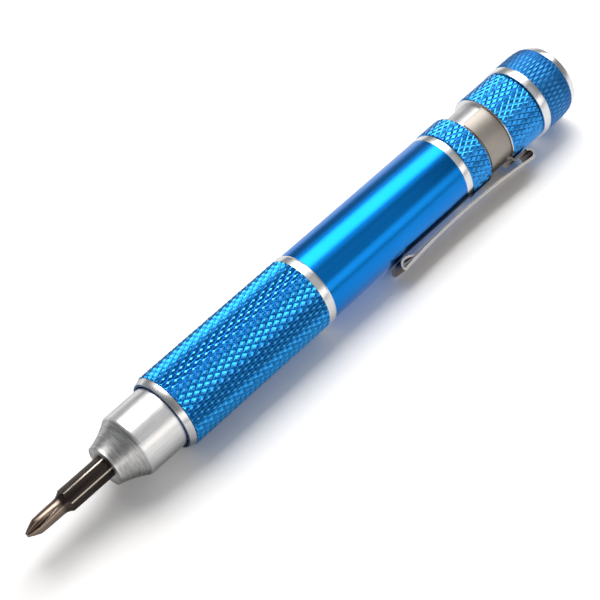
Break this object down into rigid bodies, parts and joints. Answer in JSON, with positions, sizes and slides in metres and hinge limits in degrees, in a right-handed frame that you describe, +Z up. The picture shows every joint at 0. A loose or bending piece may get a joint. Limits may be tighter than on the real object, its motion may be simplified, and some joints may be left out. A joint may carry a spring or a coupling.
{
  "type": "pocket screwdriver",
  "caption": "Pen-type pocket screwdriver: knurled aluminium handle, flared hexagonal bit nose, spring clip, swivelling end cap and a screw-out magazine of bits.",
  "frame": {"origin": "centre of the mouth of the nose, on the tool's axis", "axes": "+X along the tool from the bit to the end cap, +Z up as it lies on a table, the clip low on the -Y side"},
  "size_m": [0.1371, 0.0178, 0.0158],
  "materials": {
    "blue_aluminium": "gloss blue anodised",
    "satin_aluminium": "satin turned",
    "tool_steel": "blackened",
    "spring_nickel": "satin nickel",
    "rack_plastic": "moulded",
    "rubber": "moulded",
    "brass": "turned",
    "pin_steel": "ground",
    "magnet": "nickel plated",
    "washer_plastic": "smooth"
  },
  "bodies": {
    "handle": {"barrel": "blue_aluminium", "nose": "satin_aluminium", "socket_magnet": "magnet", "rack_pad": "rubber"},
    "bit": {"fitted_bit": "tool_steel"},
    "magazine": {"bit_rack": "rack_plastic", "bit_cross_small": "tool_steel", "bit_cross_large": "tool_steel", "bit_slotted_small": "tool_steel", "bit_slotted_large": "tool_steel", "bit_six_lobe_small": "tool_steel", "bit_six_lobe_large": "tool_steel", "bit_hexagon": "tool_steel"},
    "tail": {"tail_sleeve": "blue_aluminium", "tail_seal_ring": "rubber", "pivot_bush": "brass"},
    "clip": {"clip_band": "spring_nickel"},
    "clip_blade": {"clip_arm": "spring_nickel"},
    "cap": {"end_cap": "blue_aluminium", "pivot_pin": "pin_steel", "retaining_ring": "pin_steel", "thrust_washer": "washer_plastic"}
  },
  "joints": [
    {"name": "bit_pull", "type": "slide", "parent": "handle", "child": "bit", "axis": [-1, 0, 0], "range_m": [0, 0.01]},
    {"name": "magazine_travel", "type": "slide", "parent": "handle", "child": "magazine", "axis": [1, 0, 0], "range_m": [0, 0.00525]},
    {"name": "tail_unscrew", "type": "hinge", "parent": "magazine", "child": "tail", "pos_m": [0.0885, 0, 0], "axis": [1, 0, 0], "range_deg": [0, 2523]},
    {"name": "clip_turn", "type": "hinge", "parent": "tail", "child": "clip", "pos_m": [0.09717, 0, 0], "axis": [1, 0, 0], "continuous": true},
    {"name": "clip_flex", "type": "hinge", "parent": "clip", "child": "clip_blade", "pos_m": [0.10307, -0.00646, -0.00419], "axis": [0, -0.5446, 0.8387], "range_deg": [0, 6], "stiffness_Nm_per_rad": 4.6, "springref_deg": -1.15},
    {"name": "cap_spin", "type": "hinge", "parent": "tail", "child": "cap", "pos_m": [0.114, 0, 0], "axis": [1, 0, 0], "continuous": true}
  ],
  "couplings": [
    {"joint": "tail_unscrew", "follows": "magazine_travel", "rad_per_m": 8377.6}
  ]
}
